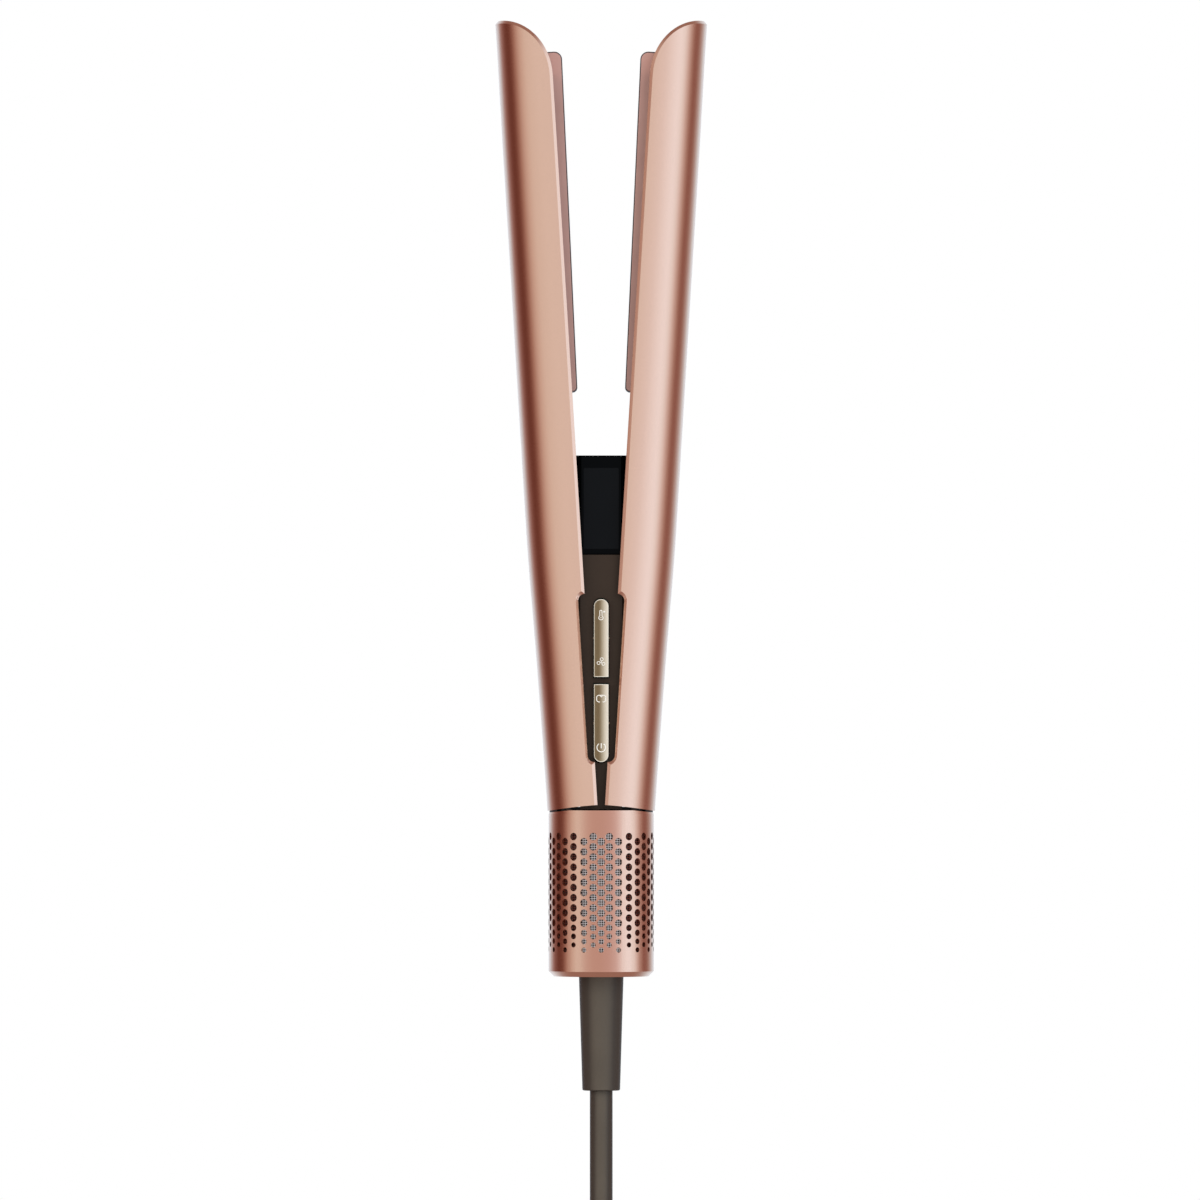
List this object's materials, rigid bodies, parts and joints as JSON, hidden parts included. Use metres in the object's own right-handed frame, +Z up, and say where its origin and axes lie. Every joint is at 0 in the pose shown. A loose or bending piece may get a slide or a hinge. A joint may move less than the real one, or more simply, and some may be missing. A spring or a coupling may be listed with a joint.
{
  "type": "air straightener",
  "caption": "Air-blowing hair straightener: two hinged half-round arms with sprung contact bars, centre body with display and rocker buttons, perforated filter handle and cord.",
  "frame": {"origin": "on the long axis at the height of the arm pivots, inside the plain band at the top of the filter cage", "axes": "+Z up the long axis towards the arm tips, -Y out of the button side, arms spread along +X and -X"},
  "size_m": [0.0696, 0.0346, 0.3997],
  "materials": {
    "copper": "satin pearl rose-copper paint",
    "copper_cage": "satin pearl rose-copper paint on the perforated cage",
    "bronze": "satin dark bronze",
    "champagne": "satin champagne anodised",
    "bar_mauve": "fine matt mauve",
    "bar_pad": "matt heatproof skin",
    "liner": "matt",
    "silicone": "soft silicone",
    "duct": "matt heat-resistant moulding",
    "mica": "layered mica",
    "ribbon": "resistance ribbon",
    "bracket": "pressed steel",
    "screw": "zinc plated",
    "spring": "spring wire",
    "pin": "ground",
    "block": "glass-filled moulding",
    "frame": "moulding",
    "glass": "gloss black",
    "bezel": "gloss black",
    "module": "display panel",
    "board": "solder mask",
    "dome": "snap dome",
    "lock": "ribbed satin",
    "mesh_frame": "moulding",
    "gauze": "fine woven gauze",
    "bucket": "moulding",
    "mount_rubber": "soft rubber",
    "laminate": "laminated core with windings",
    "magnet": "sintered",
    "steel": "ground",
    "impeller": "machined",
    "guard": "soft-touch brown",
    "cord": "satin brown jacket",
    "core": "core insulation",
    "grip": "moulding"
  },
  "bodies": {
    "handle": {"hinge_block": "block", "hinge_pins": "pin", "right_spring": "spring", "left_spring": "spring", "spine_frame": "frame", "front_cover": "bronze", "rear_cover": "bronze", "cover_screws": "screw", "display_bezel": "bezel", "display_glass": "glass", "display_module": "module", "control_board": "board", "dome_switches": "dome", "handle_frame": "frame", "frame_screws": "screw", "motor_mount": "mount_rubber", "motor_bucket": "bucket", "diffuser": "bucket", "stator": "laminate", "bearings": "steel", "cord_guard": "guard", "cord_jacket": "cord", "cord_cores": "core", "cord_grip": "grip"},
    "right_arm": {"right_shell": "copper", "right_liner": "liner", "right_bar_cushions": "silicone", "right_duct": "duct", "right_heater_card": "mica", "right_heater_ribbon": "ribbon", "right_bracket": "bracket", "right_bracket_screws": "screw", "right_liner_screws": "screw"},
    "left_arm": {"left_shell": "copper", "left_liner": "liner", "left_bar_cushions": "silicone", "left_duct": "duct", "left_heater_card": "mica", "left_heater_ribbon": "ribbon", "left_bracket": "bracket", "left_bracket_screws": "screw", "left_liner_screws": "screw"},
    "right_bar": {"right_contact_bar": "bar_mauve", "right_bar_pad": "bar_pad"},
    "left_bar": {"left_contact_bar": "bar_mauve", "left_bar_pad": "bar_pad"},
    "filter": {"filter_cage": "copper_cage", "mesh_frame": "mesh_frame", "filter_gauze": "gauze"},
    "fan": {"motor_shaft": "steel", "rotor_magnet": "magnet", "impeller": "impeller"},
    "upper_button": {"upper_rocker": "champagne"},
    "lower_button": {"lower_rocker": "champagne"},
    "lock": {"lock_slider": "lock"}
  },
  "joints": [
    {"name": "right_arm_hinge", "type": "hinge", "parent": "handle", "child": "right_arm", "pos_m": [0.0045, 0, 0], "axis": [0, -1, 0], "range_deg": [0, 2.85], "deforming": ["right_spring"]},
    {"name": "left_arm_hinge", "type": "hinge", "parent": "handle", "child": "left_arm", "pos_m": [-0.0045, 0, 0], "axis": [0, -1, 0], "range_deg": [-2.85, 0], "deforming": ["left_spring"]},
    {"name": "right_bar_float", "type": "slide", "parent": "right_arm", "child": "right_bar", "axis": [0.9981, 0, -0.061], "range_m": [0, 0.0006], "stiffness_N_per_m": 3000, "deforming": ["right_bar_cushions"]},
    {"name": "left_bar_float", "type": "slide", "parent": "left_arm", "child": "left_bar", "axis": [-0.9981, 0, -0.061], "range_m": [0, 0.0006], "stiffness_N_per_m": 3000, "deforming": ["left_bar_cushions"]},
    {"name": "upper_rocker_tilt", "type": "hinge", "parent": "handle", "child": "upper_button", "pos_m": [0, -0.011, 0.06185], "axis": [1, 0, 0], "range_deg": [-2, 2]},
    {"name": "lower_rocker_tilt", "type": "hinge", "parent": "handle", "child": "lower_button", "pos_m": [0, -0.011, 0.03395], "axis": [1, 0, 0], "range_deg": [-2, 2]},
    {"name": "lock_slide", "type": "slide", "parent": "handle", "child": "lock", "axis": [0, 0, -1], "range_m": [0, 0.004]},
    {"name": "filter_slide", "type": "slide", "parent": "handle", "child": "filter", "axis": [0, 0, -1], "range_m": [0, 0.06]},
    {"name": "fan_spin", "type": "hinge", "parent": "handle", "child": "fan", "pos_m": [0, 0, -0.0244], "axis": [0, 0, 1], "continuous": true}
  ],
  "couplings": [
    {"joint": "left_arm_hinge", "follows": "right_arm_hinge", "ratio": -1}
  ]
}
